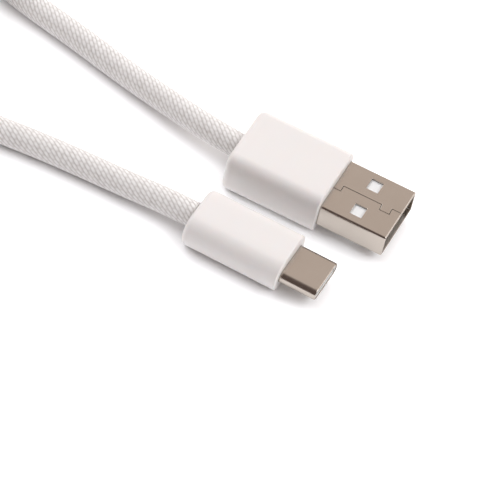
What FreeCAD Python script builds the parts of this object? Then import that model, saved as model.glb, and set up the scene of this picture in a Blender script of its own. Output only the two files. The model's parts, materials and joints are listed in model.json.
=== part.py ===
"""A woven charging cable with a USB-A plug and a USB-C plug, in millimetres.

The frame stands on the surface that the cable lies on, with +Z up and +X along the USB-A plug towards its tip. The
origin is under the middle of the USB-A plug. Each plug is modelled about its own front face and then placed, the
rest of the cord lies behind the plugs in a tied coil.
"""
import FreeCAD, Part
import math
import os
import re
import Sketcher

V = FreeCAD.Vector
UP = V(0, 0, 1)

# ---------------------------------------------------------------- driving dimensions
SIZES = [
    # alias, value in mm or degrees, meaning
    ("cord_diameter", 4.4, "woven cord, outside"),
    # where each plug lies
    ("a_front", 2.6, "USB-A housing front face, x"),
    ("c_front", 3.0, "USB-C housing front face, x"),
    ("c_side", -16.9, "USB-C plug centre at its front face, y"),
    ("c_yaw", -1.2, "USB-C plug turned about the vertical"),
    # USB-A plug
    ("a_length", 17.0, "housing length"),
    ("a_width", 13.8, "housing width"),
    ("a_height", 8.0, "housing height"),
    ("a_round", 2.0, "housing long edges"),
    ("a_nose_round", 0.35, "housing front edge"),
    ("a_tail_round", 1.2, "housing rear edge"),
    ("a_axis", 4.0, "height of the plug's centre line"),
    ("a_shell_width", 12.0, "steel shell, outside"),
    ("a_shell_height", 4.5, "steel shell, outside"),
    ("a_shell_out", 11.8, "steel shell in front of the housing"),
    ("a_shell_in", 7.0, "steel shell inside the housing"),
    ("a_shell_wall", 0.3, "steel shell sheet"),
    ("a_shell_round", 0.45, "steel shell fold, outside"),
    ("window_length", 2.1, "latch window along the plug"),
    ("window_width", 2.45, "latch window across the plug"),
    ("window_back", 7.3, "latch window rear edge behind the tip"),
    ("window_side", 3.175, "latch window centre off the plug's middle"),
    ("tongue_width", 11.3, "insulator"),
    ("tongue_thick", 1.9, "insulator over the contacts"),
    ("tongue_recess", 0.4, "insulator behind the shell's mouth"),
    ("block_out", 0.5, "thick rear part of the insulator, in front of the housing face"),
    ("a_contact_width", 1.0, "contact strip"),
    ("a_contact_thick", 0.2, "contact strip"),
    ("a_tail_end", 9.5, "contact tails end behind the housing face"),
    ("power_recess", 1.3, "power and ground contacts behind the mouth"),
    ("data_recess", 2.3, "data contacts behind the mouth"),
    ("outer_pin", 3.5, "power and ground contacts off the middle"),
    ("inner_pin", 1.0, "data contacts off the middle"),
    ("a_mould_end", 14.0, "inner mould ends behind the housing face"),
    ("a_mould_width", 11.6, "inner mould"),
    ("a_mould_height", 5.8, "inner mould"),
    ("mould_round", 0.8, "inner mould edges"),
    ("a_crimp_front", 13.0, "crimp, front end behind the housing face"),
    ("a_crimp_rear", 15.2, "crimp, rear end behind the housing face"),
    ("a_crimp_diameter", 5.2, "crimp, outside"),
    ("cord_cut", 12.8, "cord's cut end behind either housing face"),
    ("a_wire_diameter", 0.9, "insulated wire in the USB-A plug"),
    ("a_solder_front", 7.8, "solder joints, front end behind the housing face"),
    ("solder_base", 0.9, "solder joint width at its pad"),
    ("solder_top", 0.5, "solder joint width at its top"),
    ("solder_height", 0.8, "solder joint height"),
    # USB-C plug
    ("c_length", 17.2, "housing length"),
    ("c_width", 10.9, "housing width"),
    ("c_height", 6.2, "housing height"),
    ("c_round", 2.9, "housing long edges"),
    ("c_nose_round", 0.3, "housing front edge"),
    ("c_tail_round", 1.0, "housing rear edge"),
    ("c_axis", 3.1, "height of the plug's centre line"),
    ("c_shell_width", 8.25, "steel shell, outside"),
    ("c_shell_height", 2.4, "steel shell, outside"),
    ("c_shell_out", 6.55, "steel shell in front of the housing"),
    ("c_shell_in", 4.5, "steel shell inside the housing"),
    ("c_shell_wall", 0.2, "steel shell sheet"),
    ("liner_back", 0.9, "front liner starts in front of the housing face"),
    ("liner_recess", 0.2, "front liner behind the shell's mouth"),
    ("lip_depth", 0.35, "closed ring of the liner at the mouth"),
    ("mouth_width", 6.9, "opening for the socket's tongue"),
    ("mouth_height", 1.3, "opening for the socket's tongue"),
    ("mouth_round", 0.3, "opening's corners"),
    ("pin_count", 12, "contacts in each row"),
    ("pin_pitch", 0.5, "contact spacing"),
    ("pin_width", 0.26, "contact strip"),
    ("pin_thick", 0.12, "contact strip"),
    ("pin_level", 0.76, "contact root above the centre line"),
    ("pin_pad", 0.46, "contact tail above the centre line, on the board"),
    ("pin_tip", 0.46, "contact bump above the centre line"),
    ("slot_width", 0.32, "liner slot for a contact"),
    ("slot_top", 0.92, "liner slot's roof above the centre line"),
    ("root_gap", 0.03, "clearance each side of a spring's root"),
    ("root", 1.0, "spring roots in front of the housing face"),
    ("bump", 5.1, "contact bump in front of the housing face"),
    ("beam_end", 5.7, "contact spring's end in front of the housing face"),
    ("latch_inside", 3.5, "latch arm's inner face off the middle"),
    ("latch_outside", 3.65, "latch arm's outer face off the middle"),
    ("latch_hook", 3.15, "latch hook's face off the middle"),
    ("latch_height", 0.64, "latch arm"),
    ("latch_slot", 3.85, "liner's side slot, outer wall off the middle"),
    ("plate_thick", 0.15, "mid plate"),
    ("plate_end", 5.0, "mid plate ends behind the housing face"),
    ("board_front", 5.1, "circuit board starts behind the housing face"),
    ("board_end", 11.8, "circuit board ends behind the housing face"),
    ("board_width", 7.0, "circuit board"),
    ("board_thick", 0.8, "circuit board"),
    ("can_front", 2.0, "rear can starts behind the housing face"),
    ("can_end", 12.5, "rear can ends behind the housing face"),
    ("can_width", 8.8, "rear can, outside"),
    ("can_height", 4.2, "rear can, outside"),
    ("can_wall", 0.2, "rear can sheet"),
    ("c_crimp_front", 12.9, "crimp, front end behind the housing face"),
    ("c_crimp_rear", 15.0, "crimp, rear end behind the housing face"),
    ("c_crimp_diameter", 5.0, "crimp, outside"),
    ("c_wire_diameter", 0.8, "insulated wire in the USB-C plug"),
    ("c_solder_front", 10.4, "solder joints, front end behind the housing face"),
    ("c_solder_end", 11.6, "solder joints, rear end behind the housing face"),
    ("tail_end", 7.0, "contact tails end behind the housing face"),
    ("wire_inner", 0.5, "inner pair of wires off the middle, at the cord"),
    ("wire_outer", 1.45, "outer pair of wires off the middle, at the cord"),
    ("resistor_back", 8.6, "resistor's rear end behind the housing face"),
    ("resistor_length", 1.0, "resistor"),
    ("resistor_width", 0.5, "resistor"),
    ("resistor_height", 0.35, "resistor"),
    # coil of spare cord
    ("coil_x", -89.0, "coil centre"),
    ("coil_y", -6.5, "coil centre"),
    ("coil_mean", 22.0, "coil radius at the middle of its turns"),
    ("coil_columns", 3, "turns side by side"),
    ("coil_layers", 2, "turns on each other"),
    ("tie_width", 10.0, "hook-and-loop tie along the cord"),
    ("tie_thick", 0.8, "hook-and-loop tie"),
    ("tie_round", 1.5, "hook-and-loop tie's bends"),
]

doc = FreeCAD.newDocument("charging_cable")
sheet = doc.addObject("Spreadsheet::Sheet", "Sizes")
for line, (alias, number, meaning) in enumerate(SIZES, start=1):
    sheet.set(f"A{line}", meaning)
    sheet.set(f"B{line}", str(number))
    sheet.setAlias(f"B{line}", alias)
doc.recompute()
ALIASES = {alias for alias, _, _ in SIZES}


def formula(text):
    """The text with each dimension's name turned into its cell of the sheet."""
    return re.sub(r"[a-z_]\w*", lambda m: "Sizes." + m.group() if m.group() in ALIASES else m.group(), text)


def value(text):
    """The number that a formula gives now."""
    return float(sheet.evalExpression(formula(text)))


def bind(obj, prop, text):
    """Ties a property of an object to the sheet."""
    obj.setExpression(prop, formula(text))


# ---------------------------------------------------------------- sketches
def origin_feature(body, role):
    return next(f for f in body.Origin.OriginFeatures if f.Role == role)


def new_body(label):
    body = doc.addObject("PartDesign::Body", label)
    body.Label = label
    return body


def new_sketch(body, name, role, offset):
    """A sketch on one of the body's planes, moved along that plane's normal."""
    sketch = body.newObject("Sketcher::SketchObject", name)
    sketch.AttachmentSupport = [(origin_feature(body, role), "")]
    sketch.MapMode = "FlatFace"
    bind(sketch, "AttachmentOffset.Base.z", offset)
    return sketch


def constrain(sketch, kind, args, text):
    """A dimension of the sketch, bound to the sheet."""
    index = sketch.addConstraint(Sketcher.Constraint(kind, *args, value(text)))
    bind(sketch, f"Constraints[{index}]", text)


def polygon(sketch, corners):
    """A closed outline through corners, each a pair of formulas."""
    points = [V(value(u), value(v), 0) for u, v in corners]
    count = len(points)
    first = sketch.GeometryCount
    for i in range(count):
        sketch.addGeometry(Part.LineSegment(points[i], points[(i + 1) % count]), False)
    for i in range(count):
        sketch.addConstraint(Sketcher.Constraint("Coincident", first + i, 2, first + (i + 1) % count, 1))
    for i, (u, v) in enumerate(corners):
        constrain(sketch, "DistanceX", (-1, 1, first + i, 1), u)
        constrain(sketch, "DistanceY", (-1, 1, first + i, 1), v)


def rectangle(sketch, width, height, u="0", v="0"):
    """A rectangle centred on (u, v)."""
    left, right = f"{u} - ({width}) / 2", f"{u} + ({width}) / 2"
    low, high = f"{v} - ({height}) / 2", f"{v} + ({height}) / 2"
    polygon(sketch, [(left, low), (right, low), (right, high), (left, high)])


def rounded(sketch, width, height, radius, u="0", v="0"):
    """A rectangle centred on (u, v) with round corners, or a stadium when the radius is half its height."""
    wide, high, bend, mid_u, mid_v = (value(t) for t in (width, height, radius, u, v))
    full = abs(high - 2 * bend) < 1e-6
    right, top = wide / 2 - bend, high / 2 - bend
    first = sketch.GeometryCount
    if full:
        centres = [(right, 0, -90, 90), (-right, 0, 90, 270)]
    else:
        centres = [(right, top, 0, 90), (-right, top, 90, 180), (-right, -top, 180, 270), (right, -top, 270, 360)]
    count = len(centres)
    for cu, cv, start, end in centres:
        circle = Part.Circle(V(mid_u + cu, mid_v + cv, 0), UP, bend)
        sketch.addGeometry(Part.ArcOfCircle(circle, math.radians(start), math.radians(end)), False)
    for i in range(count):
        here, there = sketch.Geometry[first + i].EndPoint, sketch.Geometry[first + (i + 1) % count].StartPoint
        sketch.addGeometry(Part.LineSegment(here, there), False)
    for i in range(count):
        line = first + count + i
        sketch.addConstraint(Sketcher.Constraint("Tangent", first + i, 2, line, 1))
        sketch.addConstraint(Sketcher.Constraint("Tangent", line, 2, first + (i + 1) % count, 1))
    flat = range(first + count, first + 2 * count)
    for i, line in enumerate(flat):
        sketch.addConstraint(Sketcher.Constraint("Horizontal" if full or i % 2 == 0 else "Vertical", line))
    for i in range(count - 1 if full else 1):
        constrain(sketch, "Radius", (first + i,), radius)
    for i in range(1, 1 if full else count):
        sketch.addConstraint(Sketcher.Constraint("Equal", first, first + i))
    constrain(sketch, "DistanceX", (-1, 1, first, 3), f"{u} + ({width}) / 2 - ({radius})")
    constrain(sketch, "DistanceX", (-1, 1, first + 1, 3), f"{u} - ({width}) / 2 + ({radius})")
    if full:
        constrain(sketch, "DistanceY", (-1, 1, first, 3), v)
    else:
        constrain(sketch, "DistanceY", (-1, 1, first, 3), f"{v} + ({height}) / 2 - ({radius})")
        constrain(sketch, "DistanceY", (-1, 1, first + 2, 3), f"{v} - ({height}) / 2 + ({radius})")


def disc(sketch, diameter, u="0", v="0"):
    """A circle centred on (u, v)."""
    index = sketch.addGeometry(Part.Circle(V(value(u), value(v), 0), UP, value(diameter) / 2), False)
    constrain(sketch, "Diameter", (index,), diameter)
    constrain(sketch, "DistanceX", (-1, 1, index, 3), u)
    constrain(sketch, "DistanceY", (-1, 1, index, 3), v)


# ---------------------------------------------------------------- features
def extrude(body, kind, outline, role, offset, depth):
    """A Pad in the plane's direction, or a Pocket against it, of what outline draws in a sketch."""
    number = len(body.Group)
    sketch = new_sketch(body, f"{body.Label}_outline_{number}", role, offset)
    outline(sketch)
    before = body.Shape.Volume if body.Tip else 0.0
    feature = body.newObject(f"PartDesign::{kind}", f"{body.Label}_{kind.lower()}_{number}")
    feature.Profile = sketch
    bind(feature, "Length", depth)
    doc.recompute()
    change = body.Shape.Volume - before
    if (change <= 0) == (kind == "Pad"):
        raise RuntimeError(f"{feature.Label} changes {body.Label} by {change:.3f} mm3")
    return feature


def pad(body, outline, start, length):
    """Material from x = start over a length, towards the tip."""
    return extrude(body, "Pad", outline, "YZ_Plane", start, length)


def pocket(body, outline, end, length):
    """A cut from x = end over a length, away from the tip."""
    return extrude(body, "Pocket", outline, "YZ_Plane", end, length)


def row(body, feature):
    """Repeats a feature across the plug, once for each contact of a row."""
    pattern = body.newObject("PartDesign::LinearPattern", f"{body.Label}_row")
    pattern.Originals = [feature]
    pattern.Direction = (origin_feature(body, "Y_Axis"), [""])
    bind(pattern, "Length", "(pin_count - 1) * pin_pitch")
    bind(pattern, "Occurrences", "pin_count")
    body.Tip = pattern
    doc.recompute()


def round_end(body, x, radius, name):
    """Rounds the outer edge of the end face that lies at x."""
    solid = body.Tip
    where = value(x)
    edges = [
        f"Edge{i}" for i, e in enumerate(solid.Shape.Edges, start=1)
        if abs(e.BoundBox.XMin - where) < 1e-4 and abs(e.BoundBox.XMax - where) < 1e-4
    ]
    fillet = body.newObject("PartDesign::Fillet", name)
    fillet.Base = (solid, edges)
    bind(fillet, "Radius", radius)
    doc.recompute()


def cut(label, base, tool):
    result = doc.addObject("Part::Cut", label)
    result.Base = base
    result.Tool = tool
    result.Label = label
    doc.recompute()
    return result


# ---------------------------------------------------------------- tubes along a route
def tube_path(points):
    """Straight runs joined by tangent arcs, each as large as its two runs allow, with their radii."""
    edges, radii = [], []
    here = points[0]
    for before, corner, after in zip(points, points[1:], points[2:]):
        back, ahead = before - corner, after - corner
        shorter = min(back.Length, ahead.Length)
        back.normalize()
        ahead.normalize()
        half_turn = (math.pi - back.getAngle(ahead)) / 2
        radius = 0.45 * shorter / math.tan(half_turn)
        start, end = corner + back * 0.45 * shorter, corner + ahead * 0.45 * shorter
        inward = (back + ahead).normalize()
        middle = corner + inward * (radius / math.cos(half_turn) - radius)
        edges.append(Part.LineSegment(here, start).toShape())
        edges.append(Part.Arc(start, middle, end).toShape())
        radii.append(radius)
        here = end
    edges.append(Part.LineSegment(here, points[-1]).toShape())
    return Part.Wire(edges), radii


def tube_shape(points, diameter):
    """A round tube along the route, its volume compared with its section times its length."""
    path, radii = tube_path(points)
    direction = points[1] - points[0]
    section = Part.Wire(Part.makeCircle(diameter / 2, points[0], direction))
    solid = path.makePipeShell([section], True, True)
    expected = math.pi * diameter ** 2 / 4 * path.Length
    if abs(solid.Volume / expected - 1) > 0.01:
        raise RuntimeError(f"a tube holds {solid.Volume:.1f} mm3 instead of {expected:.1f}")
    return solid, radii, path.Length


def feature_of(label, shape):
    feature = doc.addObject("Part::Feature", label)
    feature.Shape = shape
    feature.Label = label
    return feature


# ---------------------------------------------------------------- the parts
NODES = []
WIRES = ["-wire_outer", "-wire_inner", "wire_inner", "wire_outer"]


def keep(obj, plug=None):
    """Lists a finished sub-part, and places it with its plug."""
    if plug == "a":
        bind(obj, "Placement.Base.x", "a_front")
    if plug == "c":
        obj.Placement = FreeCAD.Placement(V(), FreeCAD.Rotation(UP, value("c_yaw")))
        bind(obj, "Placement.Rotation.Angle", "c_yaw")
        bind(obj, "Placement.Base.x", "c_front")
        bind(obj, "Placement.Base.y", "c_side")
    NODES.append(obj)
    return obj


def bars(label, outline, start, end):
    """A body with one outline all along, from x = start to x = end."""
    body = new_body(label)
    pad(body, outline, start, f"{end} - ({start})")
    return body


def crimp(label, diameter, front, rear, axis):
    """The metal ferrule that grips the end of the woven cord."""
    body = new_body(label)
    pad(body, lambda s: disc(s, diameter, v=axis), f"-{rear}", f"{rear} - {front}")
    pocket(body, lambda s: disc(s, "cord_diameter", v=axis), f"-{front}", f"{rear} - {front}")
    return body


def housing(label, p):
    """A moulded housing; p is the letter of its plug in the sheet."""
    body = new_body(label)
    outside = (f"{p}_width", f"{p}_height", f"{p}_round")
    pad(body, lambda s: rounded(s, *outside, v=f"{p}_axis"), f"-{p}_length", f"{p}_length")
    round_end(body, "0", f"{p}_nose_round", f"{label}_nose")
    round_end(body, f"-{p}_length", f"{p}_tail_round", f"{label}_tail")
    return body


def solder_outline(sketch, sides, level):
    """The ends of the solder joints, each wide at its pad and narrow on top."""
    for side in sides:
        polygon(sketch, [
            (f"{side} - solder_base / 2", level),
            (f"{side} + solder_base / 2", level),
            (f"{side} + solder_top / 2", f"{level} + solder_height"),
            (f"{side} - solder_top / 2", f"{level} + solder_height"),
        ])


def usb_a_plug():
    shell_outline = ("a_shell_width", "a_shell_height", "a_shell_round")
    shell_bore = [f"{t} - 2 * a_shell_wall" for t in shell_outline[:2]] + ["a_shell_round - a_shell_wall"]
    mould_outline = ("a_mould_width", "a_mould_height", "mould_round")
    pins = [
        ("usb_a_ground_contact", "-outer_pin", "power_recess"),
        ("usb_a_data_plus_contact", "-inner_pin", "data_recess"),
        ("usb_a_data_minus_contact", "inner_pin", "data_recess"),
        ("usb_a_power_contact", "outer_pin", "power_recess"),
    ]

    body = housing("usb_a_housing", "a")
    pocket(body, lambda s: rounded(s, *shell_outline, v="a_axis"), "0", "a_shell_in")
    pocket(body, lambda s: rounded(s, *mould_outline, v="a_axis"), "-a_shell_in", "a_mould_end - a_shell_in")
    pocket(body, lambda s: disc(s, "a_crimp_diameter", v="a_axis"), "-a_mould_end", "a_crimp_rear - a_mould_end")
    pocket(body, lambda s: disc(s, "cord_diameter", v="a_axis"), "-a_crimp_rear", "a_length - a_crimp_rear")
    keep(body, "a")

    body = new_body("usb_a_shell")
    pad(body, lambda s: rounded(s, *shell_outline, v="a_axis"), "-a_shell_in", "a_shell_in + a_shell_out")
    pocket(body, lambda s: rounded(s, *shell_bore, v="a_axis"), "a_shell_out", "a_shell_in + a_shell_out")

    def windows(sketch):
        for side in ("window_side", "-window_side"):
            rectangle(sketch, "window_length", "window_width", "a_shell_out - window_back + window_length / 2", side)

    extrude(body, "Pocket", windows, "XY_Plane", "a_axis + a_shell_height", "2 * a_shell_height")
    keep(body, "a")

    body = new_body("usb_a_insulator")
    tongue_length = "a_shell_in + a_shell_out - tongue_recess"
    tongue_level = "a_axis + tongue_thick / 2"
    pad(body, lambda s: rectangle(s, "tongue_width", "tongue_thick", v=tongue_level), "-a_shell_in", tongue_length)
    block_level = "a_axis - tongue_thick / 2"
    pad(body, lambda s: rectangle(s, "tongue_width", "tongue_thick", v=block_level), "-a_shell_in",
        "a_shell_in + block_out")

    def channels(sketch):
        for _, side, _ in pins:
            rectangle(sketch, "a_contact_width", "a_contact_thick", side, "a_axis - a_contact_thick / 2")

    pocket(body, channels, "block_out", "a_shell_in + block_out")
    keep(body, "a")

    for label, side, recess in pins:

        def strip(sketch, side=side):
            rectangle(sketch, "a_contact_width", "a_contact_thick", side, "a_axis - a_contact_thick / 2")

        keep(bars(label, strip, "-a_tail_end", f"a_shell_out - {recess}"), "a")

    sides = [side for _, side, _ in pins]
    keep(bars("usb_a_solder_joints", lambda s: solder_outline(s, sides, "a_axis"), "-a_tail_end", "-a_solder_front"),
         "a")

    level = value("a_axis + a_wire_diameter / 2")
    gap = value("cord_cut - a_tail_end")
    tubes = []
    for side, place in zip(sides, WIRES):
        steps = ((0, side), (0.25, side), (0.75, place), (1, place))
        points = [V(-value("a_tail_end") - gap * t, value(y), level) for t, y in steps]
        tubes.append(tube_shape(points, value("a_wire_diameter"))[0])
    keep(feature_of("usb_a_wires", Part.makeCompound(tubes)), "a")

    keep(crimp("usb_a_crimp", "a_crimp_diameter", "a_crimp_front", "a_crimp_rear", "a_axis"), "a")
    cord_outline = ("cord_diameter", "0", "a_axis")
    keep(bars("usb_a_cord_end", lambda s: disc(s, *cord_outline), "-a_length", "-cord_cut"), "a")

    body = bars("usb_a_inner_mould", lambda s: rounded(s, *mould_outline, v="a_axis"), "-a_mould_end", "-a_shell_in")
    room = ("2 * outer_pin + a_contact_width + a_contact_thick", "a_wire_diameter + 2 * a_contact_thick", "0",
            "a_axis + a_wire_diameter / 2")
    pocket(body, lambda s: rectangle(s, *room), "-a_shell_in", "cord_cut - a_shell_in")
    pocket(body, lambda s: disc(s, *cord_outline), "-cord_cut", "a_crimp_front - cord_cut")
    pocket(body, lambda s: disc(s, "a_crimp_diameter", v="a_axis"), "-a_crimp_front", "a_mould_end - a_crimp_front")
    keep(body, "a")


def usb_c_contact_row(label, sign):
    """The sprung front halves of one row of contacts, bent in towards the socket's tongue."""
    body = new_body(label)
    line = [("root + root_gap", "pin_level"), ("bump", "pin_tip"), ("beam_end", "pin_tip + pin_thick")]

    def beam(sketch):
        outer = [(x, f"c_axis {sign} ({z} + pin_thick / 2)") for x, z in line]
        inner = [(x, f"c_axis {sign} ({z} - pin_thick / 2)") for x, z in reversed(line)]
        polygon(sketch, outer + inner)

    feature = extrude(body, "Pad", beam, "XZ_Plane", "(pin_count - 1) * pin_pitch / 2 - pin_width / 2", "pin_width")
    row(body, feature)
    keep(body, "c")


def usb_c_latch(label, sign):
    """A side latch, whose hook catches the notch in the side of the socket's tongue."""
    body = new_body(label)
    corners = [
        ("root + root_gap", "latch_inside"), ("4.3", "latch_inside"), ("4.7", "latch_hook"),
        ("5.1", "latch_hook"), ("5.3", "latch_inside"), ("5.3", "latch_outside"),
        ("root + root_gap", "latch_outside"),
    ]
    extrude(body, "Pad", lambda s: polygon(s, [(x, f"{sign}{y}") for x, y in corners]), "XY_Plane",
            "c_axis - latch_height / 2", "latch_height")
    keep(body, "c")


def usb_c_plug():
    shell_outline = ("c_shell_width", "c_shell_height", "c_shell_height / 2")
    core_outline = ("c_shell_width - 2 * c_shell_wall", "c_shell_height - 2 * c_shell_wall",
                    "c_shell_height / 2 - c_shell_wall")
    can_outline = ("can_width", "can_height", "mould_round")
    mould_outline = ("can_width - 2 * can_wall", "can_height - 2 * can_wall", "mould_round - can_wall")
    row_start = "-(pin_count - 1) * pin_pitch / 2"

    body = housing("usb_c_housing", "c")
    pocket(body, lambda s: rounded(s, *shell_outline, v="c_axis"), "0", "can_front")
    pocket(body, lambda s: rounded(s, *can_outline, v="c_axis"), "-can_front", "can_end - can_front")
    pocket(body, lambda s: disc(s, "c_crimp_diameter", v="c_axis"), "-can_end", "c_crimp_rear - can_end")
    pocket(body, lambda s: disc(s, "cord_diameter", v="c_axis"), "-c_crimp_rear", "c_length - c_crimp_rear")
    keep(body, "c")

    body = bars("usb_c_shell", lambda s: rounded(s, *shell_outline, v="c_axis"), "-c_shell_in", "c_shell_out")
    pocket(body, lambda s: rounded(s, *core_outline, v="c_axis"), "c_shell_out", "c_shell_in + c_shell_out")
    keep(body, "c")

    body = new_body("usb_c_front_liner")
    pad(body, lambda s: rounded(s, *core_outline, v="c_axis"), "liner_back", "c_shell_out - liner_recess - liner_back")
    mouth = ("mouth_width", "mouth_height", "mouth_round")
    pocket(body, lambda s: rounded(s, *mouth, v="c_axis"), "c_shell_out - liner_recess",
           "c_shell_out - liner_recess - liner_back")
    slot_front = "c_shell_out - liner_recess - lip_depth"

    def latch_slots(sketch):
        overlap = "mouth_width / 2 - 0.05"
        for sign in ("", "-"):
            rectangle(sketch, f"latch_slot - ({overlap})", "latch_height + 0.16",
                      f"{sign}((latch_slot + {overlap}) / 2)", "c_axis")

    pocket(body, latch_slots, slot_front, f"{slot_front} - liner_back")

    def contact_slots(sketch):
        inside = "mouth_height / 2 - 0.05"
        for sign in ("+", "-"):
            rectangle(sketch, "slot_width", f"slot_top - ({inside})", row_start,
                      f"c_axis {sign} (slot_top + {inside}) / 2")

    row(body, pocket(body, contact_slots, slot_front, f"{slot_front} - liner_back"))
    keep(body, "c")

    body = bars("usb_c_contact_holder", lambda s: rounded(s, *core_outline, v="c_axis"), "-c_shell_in", "liner_back")
    plate_outline = ("2 * latch_outside", "plate_thick", "0", "c_axis")
    pocket(body, lambda s: rectangle(s, *plate_outline), "liner_back", "c_shell_in + liner_back")

    def channels(sketch):
        for sign in ("+", "-"):
            rectangle(sketch, "pin_width", "pin_thick", row_start, f"c_axis {sign} pin_level")

    row(body, pocket(body, channels, "liner_back", "c_shell_in + liner_back"))
    keep(body, "c")

    usb_c_contact_row("usb_c_upper_contacts", "+")
    usb_c_contact_row("usb_c_lower_contacts", "-")
    usb_c_latch("usb_c_left_latch", "")
    usb_c_latch("usb_c_right_latch", "-")

    body = new_body("usb_c_contact_tails")
    line = [("root - root_gap", "pin_level"), ("-c_shell_in - 0.1", "pin_level"), ("-c_shell_in - 0.7", "pin_pad"),
            ("-tail_end", "pin_pad")]

    def tail_pair(sketch):
        for sign in ("+", "-"):
            top = [(x, f"c_axis {sign} ({z} + pin_thick / 2)") for x, z in line]
            bottom = [(x, f"c_axis {sign} ({z} - pin_thick / 2)") for x, z in reversed(line)]
            polygon(sketch, top + bottom)

    row(body, extrude(body, "Pad", tail_pair, "XZ_Plane", "(pin_count - 1) * pin_pitch / 2 - pin_width / 2",
                      "pin_width"))
    keep(body, "c")

    keep(bars("usb_c_mid_plate", lambda s: rectangle(s, *plate_outline), "-plate_end", "root - root_gap"), "c")
    board_outline = ("board_width", "board_thick", "0", "c_axis")
    keep(bars("usb_c_circuit_board", lambda s: rectangle(s, *board_outline), "-board_end", "-board_front"), "c")
    board_top = "c_axis + board_thick / 2"
    chip_outline = ("resistor_width", "resistor_height", "0", f"{board_top} + resistor_height / 2")
    chip_front = "resistor_length - resistor_back"
    keep(bars("usb_c_resistor", lambda s: rectangle(s, *chip_outline), "-resistor_back", chip_front), "c")
    keep(bars("usb_c_solder_joints", lambda s: solder_outline(s, WIRES, board_top), "-c_solder_end",
              "-c_solder_front"), "c")

    def wire_outlines(sketch):
        for side in WIRES:
            disc(sketch, "c_wire_diameter", side, f"{board_top} + c_wire_diameter / 2")

    keep(bars("usb_c_wires", wire_outlines, "-cord_cut", "-c_solder_end"), "c")

    body = bars("usb_c_rear_can", lambda s: rounded(s, *can_outline, v="c_axis"), "-can_end", "-can_front")
    pocket(body, lambda s: rounded(s, *mould_outline, v="c_axis"), "-can_front", "can_end - can_front")
    keep(body, "c")

    body = bars("usb_c_inner_mould", lambda s: rounded(s, *mould_outline, v="c_axis"), "-can_end", "-can_front")
    pocket(body, lambda s: rounded(s, *shell_outline, v="c_axis"), "-can_front", "c_shell_in - can_front")
    tail_room = ("board_width + 0.4", "2 * pin_level + 0.4", "0", "c_axis")
    pocket(body, lambda s: rectangle(s, *tail_room), "-c_shell_in", "tail_end + 0.2 - c_shell_in")
    pocket(body, lambda s: rectangle(s, *board_outline), "-tail_end - 0.2", "board_end - tail_end - 0.2")
    pocket(body, lambda s: rectangle(s, *chip_outline), chip_front, "resistor_length")
    wire_room = ("2 * wire_outer + solder_base + 0.2", "solder_height + 0.1", "0",
                 f"{board_top} + (solder_height + 0.1) / 2")
    pocket(body, lambda s: rectangle(s, *wire_room), "-c_solder_front", "can_end - c_solder_front")
    keep(body, "c")

    keep(crimp("usb_c_crimp", "c_crimp_diameter", "c_crimp_front", "c_crimp_rear", "c_axis"), "c")
    keep(bars("usb_c_cord_end", lambda s: disc(s, "cord_diameter", v="c_axis"), "-c_length", "-cord_cut"), "c")


# ---------------------------------------------------------------- cord
# Each route starts at the rear of its housing and ends on the coil. A flex end is where the bending stretch beside
# the plug ends: 4.5 is halfway from point 4 to point 5.
ROUTE_A = [
    (-14.4, 0.0, 4.0), (-20.3, 0.8, 3.7), (-28.5, 2.9, 2.8), (-38.0, 5.2, 2.2), (-48.6, 7.8, 2.25),
    (-60.0, 10.1, 2.2), (-71.5, 14.4, 2.25), (-81.3, 18.6, 2.2), (-89.0, 19.8, 2.25),
]
ROUTE_C = [
    (-14.2, -16.54, 3.1), (-19.6, -16.4, 3.0), (-26.6, -16.5, 2.5), (-34.4, -16.5, 2.2), (-42.4, -17.0, 2.25),
    (-51.0, -17.9, 2.2), (-59.6, -20.3, 4.2), (-67.8, -24.6, 6.5), (-75.4, -29.4, 6.7), (-82.0, -31.9, 6.5),
    (-89.0, -32.8, 6.5),
]
FLEX_END_A = 4.5
FLEX_END_C = 4.2
PLUG_BLOCK = 20.0  # a block larger than either housing's length, width and height


def coil_ring(label, lift):
    """The outer shape of the coil: a ring with rounded edges, lifted off the surface by lift."""
    body = new_body(label)
    wide, high = "coil_columns * cord_diameter", "coil_layers * cord_diameter"
    sketch = new_sketch(body, f"{label}_section", "XZ_Plane", "0")
    rounded(sketch, wide, high, "cord_diameter / 2 - 0.05", "coil_mean", f"({high}) / 2 + {lift}")
    turn = body.newObject("PartDesign::Revolution", f"{label}_turn")
    turn.Profile = sketch
    turn.ReferenceAxis = (origin_feature(body, "Z_Axis"), [""])
    turn.Angle = 360
    doc.recompute()
    bind(body, "Placement.Base.x", "coil_x")
    bind(body, "Placement.Base.y", "coil_y")
    doc.recompute()
    return body


def beside_coil(points):
    """A route cut short where its cord comes up against the coil."""
    reach = value("coil_mean + (coil_columns + 1) * cord_diameter / 2")
    kept = [points[0]]
    for point in points[1:]:
        near, far = (math.hypot(p.x - value("coil_x"), p.y - value("coil_y")) for p in (kept[-1], point))
        if far < reach:
            return kept + [kept[-1] + (point - kept[-1]) * ((near - reach) / (near - far))]
        kept.append(point)
    return kept


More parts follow.
